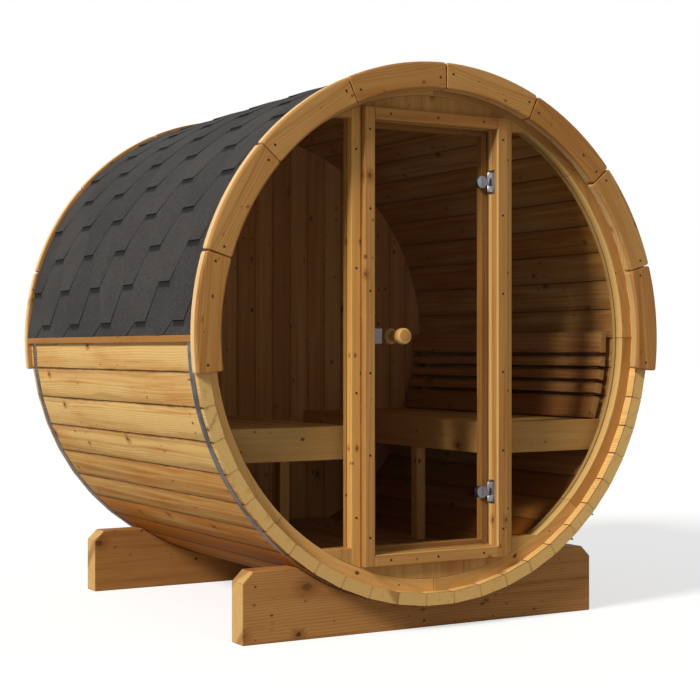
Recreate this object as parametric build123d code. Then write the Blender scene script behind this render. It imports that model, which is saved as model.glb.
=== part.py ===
# Barrel sauna: a lying barrel of staves on two cradles, with a glazed front and a glass door
# Millimetres. X runs to the right seen from the front, Y to the back, Z up
# The origin lies on the ground under the middle of the barrel

import math
import os

from build123d import *

# Fits that many pieces share
fit_gap = 0.3
board_gap = 0.4

# Barrel of staves
stave_count = 50
lower_side_staves = 7
upper_side_staves = 9
stave_length = 1664.0
stave_thickness = 44.0
stave_arris = 2.5
barrel_across_flats = 1930.0
croze_depth = 10.0
croze_clearance = 0.5

# Cradles under the barrel
cradle_length = 1500.0
cradle_height = 252.0
cradle_thickness = 88.0
cradle_chamfer = 40.0
cradle_web = 93.5
cradle_setback = 128.0

# Hoop bands
band_width = 36.0
band_thickness = 0.8
band_setback = 84.0

# Arch boards on both ends of the roof
arch_board_count = 8
arch_width = 97.0
arch_thickness = 42.0
arch_rise = 17.3
arch_drop_angle = 7.6
arch_gap = 1.5
arch_corner = 4.0

# Shingle roof
course_count = 11
shingle_butt = 10.0
shingle_head = 5.0
eave_butt = 17.5
batten_width = 24.0
batten_thickness = 14.5
batten_drop = 21.0
cap_half_angle = 5.0
cap_thickness = 4.0

# Front wall with two fixed panes
wall_setback = 84.0
wall_thickness = 60.0
ring_face = 47.0
ring_piece_count = 4
post_width = 39.0
pane_lift = 69.0
pane_thickness = 6.0
pane_recess = 35.0
pane_groove = 8.0
pane_clearance = 0.5

# Door frame
frame_setback = 56.0
frame_depth = 112.0
frame_face = 42.0
opening_width = 530.0
top_board_height = 108.5
bottom_board_height = 107.5
stop_width = 20.0
stop_clearance = 5.0

# Door glass with knob and latch plate
glass_thickness = 8.0
glass_recess = 61.0
latch_edge_gap = 6.0
hinge_edge_gap = 7.0
glass_end_gap = 6.0
knob_offset = 120.0
knob_lift = 774.0
knob_diameter = 59.0
knob_head = 36.0
knob_reach = 60.0
knob_neck = 26.0
knob_round = 7.0
spindle_diameter = 10.0
bore_clearance = 0.5
latch_size = 55.0
latch_thickness = 3.0
latch_edge = 2.0

# Door hinges
hinge_lift = 197.0
hinge_drop = 193.0
hinge_inset = 9.0
hinge_forward = 8.0
knuckle_diameter = 10.0
knuckle_height = 28.0
pin_diameter = 5.0
pin_clearance = 0.1
leaf_height = 87.0
leaf_depth = 35.0
leaf_thickness = 3.5
leaf_back = 7.0
leaf_barrel = 72.0
web_thickness = 8.0
clamp_diameter = 45.0
clamp_thickness = 6.0
clamp_inset = 24.0
clamp_bolt = 18.0

# Rear wall
rear_wall_thickness = 42.0
rear_board_count = 21

# Floor
floor_rise = 1.0
floor_side_gap = 9.0
floor_board_count = 7
floor_board_gap = 10.0
floor_board_thickness = 22.0
joist_thickness = 40.0
joist_count = 3
joist_inset = 90.0

# Benches
seat_drop = 319.5
seat_inner = 290.0
seat_slat_count = 5
seat_slat_gap = 10.0
seat_slat_thickness = 27.0
seat_back_gap = 4.0
apron_height = 119.0
apron_thickness = 27.0
bench_standoff = 32.0
bearer_height = 70.0
bearer_thickness = 42.0
leg_size = 42.0
leg_offset = 195.0

# Backrests
backrest_slat_widths = (90.0, 44.0, 42.0, 42.0, 85.0)
backrest_slat_gap = 11.0
backrest_slat_thickness = 28.0
backrest_lift = 6.0
bracket_thickness = 25.0
bracket_width = 40.0
bracket_inset = 120.0
bracket_count = 3

# Values that follow from the ones above
half_step = math.radians(360 / stave_count / 2)
outer_apothem = barrel_across_flats / 2
inner_apothem = outer_apothem - stave_thickness
axis_height = cradle_web + outer_apothem
corner_half = outer_apothem * math.tan(half_step) - board_gap / 2 - stave_arris
barrel_radius = math.hypot(outer_apothem, corner_half)
lining_radius = inner_apothem - fit_gap
wall_radius = inner_apothem + croze_depth - croze_clearance
band_radius = barrel_radius + fit_gap
roof_radius = band_radius + band_thickness + fit_gap
arch_outer = barrel_radius + arch_rise
arch_inner = arch_outer - arch_width
front = -stave_length / 2 - arch_thickness
rear = stave_length / 2 + arch_thickness
wall_front = front + wall_setback
wall_back = wall_front + wall_thickness
rear_wall_back = rear - wall_setback
rear_wall_front = rear_wall_back - rear_wall_thickness
ring_radius = inner_apothem - ring_face
frame_front = front + frame_setback
frame_back = frame_front + frame_depth
opening_half = opening_width / 2
frame_half = opening_half + frame_face
frame_bottom = axis_height - inner_apothem + bottom_board_height
frame_top = axis_height + inner_apothem - top_board_height
opening_bottom = frame_bottom + frame_face
opening_top = frame_top - frame_face
pane_bottom = frame_bottom + pane_lift
pane_top = opening_top
post_inner = frame_half + fit_gap
post_outer = post_inner + post_width
pane_front = wall_front + pane_recess
glass_front = frame_front + glass_recess
glass_back = glass_front + glass_thickness
stop_front = glass_back + clamp_thickness + stop_clearance
stop_half = opening_half - stop_width
hinge_x = opening_half - hinge_inset
hinge_y = glass_front - hinge_forward
clamp_x = hinge_x - clamp_inset
glass_left = latch_edge_gap - opening_half
glass_right = opening_half - hinge_edge_gap
knob_x = glass_left + knob_offset
knob_height = opening_bottom + knob_lift
hinge_heights = (opening_bottom + hinge_lift, opening_top - hinge_drop)
floor_top = frame_bottom + floor_rise
floor_underside = floor_top - floor_board_thickness
seat_top = axis_height - seat_drop
seat_underside = seat_top - seat_slat_thickness
apron_bottom = seat_top - apron_height
apron_back = seat_inner + apron_thickness
bench_front = wall_back + bench_standoff
bench_back = rear_wall_front - fit_gap
backrest_radius = lining_radius - bracket_thickness - fit_gap
slat_radius = backrest_radius - backrest_slat_thickness


def at(radius, angle):
    """Point of a cross-section, from its radius and its angle in degrees round the barrel axis."""
    turn = math.radians(angle)
    return (radius * math.cos(turn), axis_height + radius * math.sin(turn))


def prism(outline, y_start, y_end):
    """Solid with the given outline across the barrel, between two places along it."""
    face = Plane.XZ.offset(-y_start) * make_face(outline)
    return extrude(face, y_end - y_start, dir=(0, 1, 0))


def block(x_start, x_end, y_start, y_end, z_start, z_end):
    """Straight board or cutter between two corners."""
    size = Box(x_end - x_start, y_end - y_start, z_end - z_start, align=(Align.MIN,) * 3)
    return Pos(x_start, y_start, z_start) * size


def disc(radius, y_start, y_end):
    """Round plate across the barrel."""
    face = Plane.XZ.offset(-y_start) * Pos(0, axis_height) * Circle(radius)
    return extrude(face, y_end - y_start, dir=(0, 1, 0))


def rod(x, z, radius, y_start, y_end):
    """Round bar along the barrel."""
    face = Plane.XZ.offset(-y_start) * Pos(x, z) * Circle(radius)
    return extrude(face, y_end - y_start, dir=(0, 1, 0))


def pillar(x, y, radius, z_start, z_end):
    """Upright round bar."""
    return extrude(Plane.XY.offset(z_start) * Pos(x, y) * Circle(radius), z_end - z_start)


def arc(radius, start, end):
    """Arc round the barrel axis between two angles."""
    return ThreePointArc(at(radius, start), at(radius, (start + end) / 2), at(radius, end))


def sector(inner, outer, start, end, y_start, y_end):
    """Curved board between two radii and two angles."""
    outline = arc(outer, start, end) + Line(at(outer, end), at(inner, end))
    outline += arc(inner, end, start) + Line(at(inner, start), at(outer, start))
    return prism(outline, y_start, y_end)


def turned(shape, angle):
    """Shape drawn at the top of the barrel, carried round it to the given angle."""
    return Pos(0, 0, axis_height) * Rot(0, 90 - angle, 0) * shape


def mirrored(shapes):
    """The same pieces on the other side of the barrel."""
    return [mirror(shape, about=Plane.YZ) for shape in shapes]


def half_width(radius, height):
    """Half of the room inside a circle round the axis, at a height over the ground."""
    return math.sqrt(radius**2 - (axis_height - height) ** 2)


def spread(start, end, count):
    """Evenly spaced places from start to end."""
    step = (end - start) / (count - 1)
    return [start + step * index for index in range(count)]


os.makedirs("parts", exist_ok=True)


def save(name, shapes):
    """Writes one node, as one solid or several that don't touch."""
    solids = [solid for shape in shapes for solid in shape.solids()]
    export_step(Compound(solids) if len(solids) > 1 else solids[0], "parts/" + name + ".step")


# Cradles: thick planks with a saddle cut to the barrel and chamfered top ends
def cradle(y_start):
    half = cradle_length / 2
    shoulder = cradle_height - cradle_chamfer
    top_half = half - cradle_chamfer
    right = [(half, 0), (half, shoulder), (top_half, cradle_height)]
    left = [(-x, z) for x, z in reversed(right)]
    plank = prism(Polyline(*right, *left, close=True), y_start, y_start + cradle_thickness)
    return plank - disc(barrel_radius + fit_gap, y_start, y_start + cradle_thickness)


save("cradle_front", [cradle(front + cradle_setback)])
save("cradle_rear", [cradle(rear - cradle_setback - cradle_thickness)])


# Staves: bevelled boards with eased arrises and a groove for each end wall
def stave_half(height):
    return height * math.tan(half_step) - board_gap / 2


low = inner_apothem
high = outer_apothem
stave_right = [
    (stave_half(low) - stave_arris, low),
    (stave_half(low + stave_arris), low + stave_arris),
    (stave_half(high - stave_arris), high - stave_arris),
    (stave_half(high) - stave_arris, high),
]
stave_outline = Polyline(*stave_right, *[(-x, z) for x, z in reversed(stave_right)], close=True)
stave = prism(stave_outline, -stave_length / 2, stave_length / 2)
for groove_start, groove_end in ((wall_front, wall_back), (rear_wall_front, rear_wall_back)):
    stave -= block(
        -stave_thickness * 2,
        stave_thickness * 2,
        groove_start - croze_clearance,
        groove_end + croze_clearance,
        0,
        inner_apothem + croze_depth,
    )

half_count = stave_count // 2
stave_zones = {
    "staves_lower_left": (0, lower_side_staves),
    "staves_floor": (lower_side_staves, half_count - lower_side_staves),
    "staves_lower_right": (half_count - lower_side_staves, half_count),
    "staves_upper_right": (half_count, half_count + upper_side_staves),
    "staves_ridge": (half_count + upper_side_staves, stave_count - upper_side_staves),
    "staves_upper_left": (stave_count - upper_side_staves, stave_count),
}
for zone, (first, last) in stave_zones.items():
    angles = [-180 + (index + 0.5) * 360 / stave_count for index in range(first, last)]
    save(zone, [turned(stave, angle) for angle in angles])

# Hoop bands: two thin steel rings that draw the staves together
bands = []
for band_middle in (front + band_setback, rear - band_setback):
    y_start = band_middle - band_width / 2
    y_end = band_middle + band_width / 2
    bands.append(disc(band_radius + band_thickness, y_start, y_end) - disc(band_radius, y_start, y_end))
save("hoop_bands", bands)

# Arch boards: curved boards with eased outer corners over the stave ends
arch_step = (180 + 2 * arch_drop_angle) / arch_board_count
arch_gap_angle = math.degrees(arch_gap / arch_outer)
arch_corner_angle = math.degrees(arch_corner / arch_outer)


def arch_board(index, y_start):
    start = -arch_drop_angle + index * arch_step + arch_gap_angle / 2
    end = start + arch_step - arch_gap_angle
    eased = arch_outer - arch_corner
    outline = arc(arch_outer, start + arch_corner_angle, end - arch_corner_angle)
    outline += Line(at(arch_outer, end - arch_corner_angle), at(eased, end))
    outline += Line(at(eased, end), at(arch_inner, end)) + arc(arch_inner, end, start)
    outline += Line(at(arch_inner, start), at(eased, start))
    outline += Line(at(eased, start), at(arch_outer, start + arch_corner_angle))
    return prism(outline, y_start, y_start + arch_thickness)


save("front_arch_boards", [arch_board(index, front) for index in range(arch_board_count)])
save("rear_arch_boards", [arch_board(index, stave_length / 2) for index in range(arch_board_count)])

# Eave battens: strips along the barrel that carry the lowest course
roof_front = fit_gap - stave_length / 2
roof_back = stave_length / 2 - fit_gap
batten_bottom = axis_height - batten_drop
batten_top = batten_bottom + batten_width
batten_inner = band_radius + band_thickness + fit_gap
batten_right = block(
    batten_inner, batten_inner + batten_thickness, roof_front, roof_back, batten_bottom, batten_top
)
save("eave_battens", [batten_right, *mirrored([batten_right])])

# Shingle courses: each lies with its thick lower edge over the one below
eave_angle = math.degrees((batten_top + fit_gap - axis_height) / roof_radius)
course_step = (90 - eave_angle) / course_count
course_gap_angle = math.degrees(fit_gap / roof_radius)
courses = []
for index in range(course_count):
    start = eave_angle + index * course_step
    end = start + course_step - course_gap_angle
    butt = roof_radius + (shingle_butt if index else eave_butt)
    head = roof_radius + shingle_head
    outline = Line(at(butt, start), at(head, end)) + Line(at(head, end), at(roof_radius, end))
    outline += arc(roof_radius, end, start) + Line(at(roof_radius, start), at(butt, start))
    courses.append(prism(outline, roof_front, roof_back))
save("shingles_right", courses)
save("shingles_left", mirrored(courses))

# Ridge cap: the folded strip over the meeting of both top courses
cap_share = (cap_half_angle - course_gap_angle) / course_step
cap_base = roof_radius + shingle_head + (shingle_butt - shingle_head) * cap_share
cap_end_angle = 90 - cap_half_angle
cap = sector(cap_base, cap_base + cap_thickness, cap_end_angle, 180 - cap_end_angle, roof_front, roof_back)
save("ridge_cap", [cap])


# Fixed panes: glass held in a groove all round
def pane(edge, face):
    y_start = pane_front - face
    y_end = pane_front + pane_thickness + face
    room = block(
        post_outer - edge, wall_radius, y_start, y_end, pane_bottom - edge, pane_top + edge
    )
    return disc(ring_radius + edge, y_start, y_end) & room


pane_right = pane(pane_groove - pane_clearance, 0)
pane_seat = pane(pane_groove, fit_gap)
save("front_pane_right", [pane_right])
save("front_pane_left", mirrored([pane_right]))

# Front wall: a ring all round, posts beside the door, boards over and under it, corners by the panes
ring_step = 180 / ring_piece_count
ring_gap_angle = math.degrees(board_gap / ring_radius)
ring_right = []
for index in range(ring_piece_count):
    start = -90 + index * ring_step + ring_gap_angle / 2
    end = start + ring_step - ring_gap_angle
    ring_right.append(sector(ring_radius, wall_radius, start, end, wall_front, wall_back) - pane_seat)
save("front_ring_right", ring_right)
save("front_ring_left", mirrored(ring_right))

wall_plate = disc(ring_radius - fit_gap, wall_front, wall_back)
post_room = block(post_inner, post_outer, wall_front, wall_back, 0, 2 * axis_height)
post_right = (wall_plate & post_room) - pane_seat
save("front_post_right", [post_right])
save("front_post_left", mirrored([post_right]))

corners_right = []
for low, high in ((0, pane_bottom), (pane_top, 2 * axis_height)):
    room = block(post_outer + fit_gap, ring_radius, wall_front, wall_back, low, high)
    corners_right.append((wall_plate & room) - pane_seat)
save("front_corner_boards", [*corners_right, *mirrored(corners_right)])

over_door = block(-frame_half, frame_half, wall_front, wall_back, frame_top + fit_gap, 2 * axis_height)
under_door = block(-frame_half, frame_half, wall_front, wall_back, 0, frame_bottom - fit_gap)
save("front_top_board", [wall_plate & over_door])
save("front_bottom_board", [wall_plate & under_door])

# Door frame: jambs the full height, head and sill between them, each with a stop behind the glass
jamb_right = block(opening_half, frame_half, frame_front, frame_back, frame_bottom, frame_top)
jamb_right += block(stop_half, opening_half, stop_front, frame_back, opening_bottom, opening_top)
save("door_jamb_left", mirrored([jamb_right]))

leaf_end = hinge_y + leaf_back
leaf_start = leaf_end - leaf_depth
for hinge_z in hinge_heights:
    jamb_right -= block(
        opening_half,
        opening_half + leaf_thickness + fit_gap,
        leaf_start - fit_gap,
        leaf_end + fit_gap,
        hinge_z - leaf_height / 2 - fit_gap,
        hinge_z + leaf_height / 2 + fit_gap,
    )
save("door_jamb_right", [jamb_right])

rail_half = opening_half - fit_gap
rail_stop_half = stop_half - fit_gap
sill = block(-rail_half, rail_half, frame_front, frame_back, frame_bottom, opening_bottom)
sill += block(
    -rail_stop_half, rail_stop_half, stop_front, frame_back, opening_bottom, opening_bottom + stop_width
)
save("door_sill", [sill])
head = block(-rail_half, rail_half, frame_front, frame_back, opening_top, frame_top)
head += block(
    -rail_stop_half, rail_stop_half, stop_front, frame_back, opening_top - stop_width, opening_top
)
save("door_head", [head])

# Hinge leaves: plates let into the right jamb, with two knuckles and the pin
leaves = []
for hinge_z in hinge_heights:
    leaf = block(
        opening_half,
        opening_half + leaf_thickness,
        leaf_start,
        leaf_end,
        hinge_z - leaf_height / 2,
        hinge_z + leaf_height / 2,
    )
    inner_end = knuckle_height / 2 + fit_gap
    outer_end = leaf_barrel / 2
    for low, high in ((inner_end, outer_end), (-outer_end, -inner_end)):
        leaf += pillar(hinge_x, hinge_y, knuckle_diameter / 2, hinge_z + low, hinge_z + high)
        leaf += block(
            hinge_x,
            opening_half,
            hinge_y - web_thickness / 2,
            hinge_y + web_thickness / 2,
            hinge_z + low,
            hinge_z + high,
        )
    leaf += pillar(hinge_x, hinge_y, pin_diameter / 2, hinge_z - outer_end, hinge_z + outer_end)
    leaves.append(leaf)
save("hinge_leaves", leaves)

# Hinge clamps: a round plate on each face of the glass, with the middle knuckle
clamps = []
for hinge_z in hinge_heights:
    clamp = rod(clamp_x, hinge_z, clamp_diameter / 2, glass_front - clamp_thickness, glass_front)
    clamp += rod(clamp_x, hinge_z, clamp_bolt / 2, glass_front, glass_back)
    clamp += rod(clamp_x, hinge_z, clamp_diameter / 2, glass_back, glass_back + clamp_thickness)
    low = hinge_z - knuckle_height / 2
    high = hinge_z + knuckle_height / 2
    clamp += pillar(hinge_x, hinge_y, knuckle_diameter / 2, low, high)
    clamp += block(
        clamp_x, hinge_x, hinge_y - web_thickness / 2, hinge_y + web_thickness / 2, low, high
    )
    clamp -= pillar(hinge_x, hinge_y, pin_diameter / 2 + pin_clearance, low, high)
    clamps.append(clamp)
save("hinge_clamps", clamps)

# Door glass: one frameless sheet with bores for the clamps and the knob
glass = block(
    glass_left,
    glass_right,
    glass_front,
    glass_back,
    opening_bottom + glass_end_gap,
    opening_top - glass_end_gap,
)
for hinge_z in hinge_heights:
    glass -= rod(clamp_x, hinge_z, clamp_bolt / 2 + bore_clearance, glass_front, glass_back)
glass -= rod(knob_x, knob_height, spindle_diameter / 2 + bore_clearance, glass_front, glass_back)
save("door_glass", [glass])

# Door knob: a turned wooden knob on each face, joined through the glass
knob_radius = knob_diameter / 2
knob_side = [
    (0, knob_reach),
    (knob_radius - knob_round, knob_reach),
    (knob_radius, knob_reach - knob_round),
    (knob_radius, knob_reach - knob_head + knob_round),
    (knob_radius - knob_round, knob_reach - knob_head),
    (knob_neck / 2, knob_reach - knob_head),
    (knob_neck / 2, 0),
    (spindle_diameter / 2, 0),
]
knob_profile = [(r, glass_front - reach) for r, reach in knob_side]
knob_profile += [(r, glass_back + reach) for r, reach in reversed(knob_side)]
knob = revolve(make_face(Polyline(*knob_profile, close=True)), axis=Axis.Y)
save("door_knob", [Pos(knob_x, 0, knob_height) * knob])

# Latch plate: a square metal plate near the free edge of the glass
latch = block(
    glass_left + latch_edge,
    glass_left + latch_edge + latch_size,
    glass_front - latch_thickness,
    glass_front,
    knob_height - latch_size / 2,
    knob_height + latch_size / 2,
)
save("latch_plate", [latch])

# Rear wall: upright boards cut to the barrel
rear_plate = disc(wall_radius, rear_wall_front, rear_wall_back)
rear_pitch = 2 * wall_radius / rear_board_count
rear_boards = []
for index in range(rear_board_count):
    start = -wall_radius + index * rear_pitch
    end = start + rear_pitch - board_gap
    rear_boards.append(
        rear_plate & block(start, end, rear_wall_front, rear_wall_back, 0, 2 * axis_height)
    )
save("rear_wall_boards", rear_boards)

# Floor: boards along the barrel on joists cut to its curve
floor_front = frame_back + fit_gap
floor_back = rear_wall_front - fit_gap
floor_half_width = half_width(lining_radius, floor_underside) - floor_side_gap
floor_pitch = (2 * floor_half_width + floor_board_gap) / floor_board_count
floor_boards = []
for index in range(floor_board_count):
    start = -floor_half_width + index * floor_pitch
    end = start + floor_pitch - floor_board_gap
    floor_boards.append(block(start, end, floor_front, floor_back, floor_underside, floor_top))
save("floor_boards", floor_boards)

joists = []
for y_start in spread(floor_front + joist_inset, floor_back - joist_inset - joist_thickness, joist_count):
    y_end = y_start + joist_thickness
    room = block(-floor_half_width, floor_half_width, y_start, y_end, 0, floor_underside)
    joists.append(disc(lining_radius, y_start, y_end) & room)
save("floor_joists", joists)

# Benches: seat slats along the barrel, an apron, end boards, cross bearers and legs
seat_outer = half_width(slat_radius, seat_underside) - seat_back_gap
seat_start = apron_back + fit_gap
seat_pitch = (seat_outer - seat_start + seat_slat_gap) / seat_slat_count
slat_front = bench_front + apron_thickness + fit_gap
slat_back = bench_back - apron_thickness - fit_gap
seat_right = []
for index in range(seat_slat_count):
    start = seat_start + index * seat_pitch
    end = start + seat_pitch - seat_slat_gap
    seat_right.append(block(start, end, slat_front, slat_back, seat_underside, seat_top))
save("bench_right_seat", seat_right)
save("bench_left_seat", mirrored(seat_right))

apron_right = block(seat_inner, apron_back, bench_front, bench_back, apron_bottom, seat_top)
save("bench_right_apron", [apron_right])
save("bench_left_apron", mirrored([apron_right]))

leg_places = (-leg_offset, leg_offset)
bearers_right = []
for y_start, y_end, low, high in (
    (bench_front, bench_front + apron_thickness, apron_bottom, seat_top),
    (bench_back - apron_thickness, bench_back, apron_bottom, seat_top),
    *(
        (y - bearer_thickness / 2, y + bearer_thickness / 2, seat_underside - bearer_height, seat_underside)
        for y in leg_places
    ),
):
    room = block(seat_start, inner_apothem, y_start, y_end, low, high)
    bearers_right.append(disc(lining_radius, y_start, y_end) & room)
save("bench_right_bearers", bearers_right)
save("bench_left_bearers", mirrored(bearers_right))

legs_right = [
    block(seat_inner, seat_inner + leg_size, y - leg_size / 2, y + leg_size / 2, floor_top, apron_bottom)
    for y in leg_places
]
save("bench_legs", [*legs_right, *mirrored(legs_right)])

# Backrests: slats that follow the curve of the wall, on curved brackets
back_start = -math.degrees(math.asin((axis_height - seat_top - backrest_lift) / slat_radius))
back_gap_angle = math.degrees(backrest_slat_gap / slat_radius)
backrest_right = []
slat_angle = back_start
for width in backrest_slat_widths:
    share = math.degrees(width / slat_radius)
    slat = block(-width / 2, width / 2, slat_front, slat_back, slat_radius, backrest_radius)
    flat = backrest_radius - math.hypot(backrest_radius, width / 2)
    backrest_right.append(turned(Pos(0, 0, flat) * slat, slat_angle + share / 2))
    slat_angle += share + back_gap_angle
back_end = slat_angle - back_gap_angle
save("backrest_right", backrest_right)
save("backrest_left", mirrored(backrest_right))

brackets = []
for y in spread(bench_front + bracket_inset, bench_back - bracket_inset, bracket_count):
    y_start = y - bracket_width / 2
    bracket = sector(
        backrest_radius + fit_gap, lining_radius, back_start, back_end, y_start, y_start + bracket_width
    )
    brackets.append(bracket)
save("backrest_brackets", [*brackets, *mirrored(brackets)])
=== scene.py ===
import math

import bmesh
import bpy
from mathutils import Matrix, Vector


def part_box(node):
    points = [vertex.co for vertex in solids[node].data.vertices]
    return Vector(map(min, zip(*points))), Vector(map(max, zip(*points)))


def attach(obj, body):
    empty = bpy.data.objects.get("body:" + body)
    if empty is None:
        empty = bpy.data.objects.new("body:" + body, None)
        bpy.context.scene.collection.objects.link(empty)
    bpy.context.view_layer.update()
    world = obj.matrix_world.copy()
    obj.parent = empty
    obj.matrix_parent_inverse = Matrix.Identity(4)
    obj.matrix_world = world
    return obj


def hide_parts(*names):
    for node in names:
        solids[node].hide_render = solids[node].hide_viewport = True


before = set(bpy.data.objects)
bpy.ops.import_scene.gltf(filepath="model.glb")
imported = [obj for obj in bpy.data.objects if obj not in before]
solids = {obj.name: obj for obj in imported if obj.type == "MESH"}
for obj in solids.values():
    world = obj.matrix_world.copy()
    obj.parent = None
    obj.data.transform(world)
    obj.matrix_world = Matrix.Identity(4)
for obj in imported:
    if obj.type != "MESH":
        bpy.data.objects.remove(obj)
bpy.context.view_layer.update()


# Cradles
# Two thick spruce planks on edge carry the barrel, one near each end. They are sawn to a saddle for the
# staves, their top corners are cut off, and they are oiled a honey colour.
class Wire:
    """One output of a node, so that sums on it are written as Python sums."""

    def __init__(self, tree, socket=None):
        self.tree = tree
        self.socket = socket

    def node(self, kind, settings, inputs, output=0):
        made = self.tree.nodes.new(kind)
        for key, value in settings.items():
            setattr(made, key, value)
        for key, value in inputs.items():
            if isinstance(value, Wire):
                self.tree.links.new(value.socket, made.inputs[key])
            else:
                made.inputs[key].default_value = value
        return Wire(self.tree, made.outputs[output] if made.outputs else None)

    def out(self, name):
        return Wire(self.tree, self.socket.node.outputs[name])

    def here(self):
        """Place on the piece, in metres."""
        return self.node("ShaderNodeTexCoord", {}, {}, "Object")

    def sum(self, operation, *others):
        return self.node("ShaderNodeMath", {"operation": operation}, dict(enumerate((self, *others))))

    def __add__(self, other):
        return self.sum("ADD", other)

    def __radd__(self, other):
        return self.sum("ADD", other)

    def __sub__(self, other):
        return self.sum("SUBTRACT", other)

    def __rsub__(self, other):
        return self.node("ShaderNodeMath", {"operation": "SUBTRACT"}, {0: other, 1: self})

    def __mul__(self, other):
        return self.sum("MULTIPLY", other)

    def __rmul__(self, other):
        return self.sum("MULTIPLY", other)

    def __truediv__(self, other):
        return self.sum("DIVIDE", other)

    def __rtruediv__(self, other):
        return self.node("ShaderNodeMath", {"operation": "DIVIDE"}, {0: other, 1: self})

    def __mod__(self, other):
        return self.sum("FLOORED_MODULO", other)

    def __gt__(self, other):
        return self.sum("GREATER_THAN", other)

    def vector(self, operation, *values, output="Vector"):
        everything = dict(enumerate((self, *values)))
        return self.node("ShaderNodeVectorMath", {"operation": operation}, everything, output)

    def parts(self):
        split = self.node("ShaderNodeSeparateXYZ", {}, {0: self})
        return split, split.out("Y"), split.out("Z")

    def join(self, x, y, z):
        return self.node("ShaderNodeCombineXYZ", {}, {"X": x, "Y": y, "Z": z})

    def ramp(self, low, high):
        ends = {"Value": self, "From Min": low, "From Max": high}
        return self.node("ShaderNodeMapRange", {"interpolation_type": "SMOOTHSTEP"}, ends)

    def noise(self, stretch, detail):
        scaled = self.vector("MULTIPLY", stretch)
        return self.node("ShaderNodeTexNoise", {}, {"Vector": scaled, "Scale": 1.0, "Detail": detail})

    def spots(self, stretch, oval):
        """Distance in metres to the nearest of scattered spots, and three random numbers of that spot."""
        scaled = self.vector("MULTIPLY", stretch)
        cells = {"Vector": scaled, "Scale": 1.0, "Randomness": 0.9}
        nearest = self.node("ShaderNodeTexVoronoi", {"voronoi_dimensions": "2D"}, cells)
        offset = scaled.vector("SUBTRACT", nearest.out("Position"))
        shaped = offset.vector("MULTIPLY", (oval / stretch[0], 1.0 / stretch[1], 0.0))
        return shaped.vector("LENGTH", output="Value"), nearest.out("Color").parts()

    def blend(self, first, second):
        return self.node("ShaderNodeMix", {"data_type": "RGBA"}, {0: self, 6: first, 7: second}, 2)


def blank(name):
    """A material with an empty node tree, and a wire to start from."""
    material = bpy.data.materials.new(name)
    material.use_nodes = True
    material.node_tree.nodes.clear()
    return material, Wire(material.node_tree)


sawn_and_highlight_pale = (0.68, 0.445, 0.160)


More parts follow.
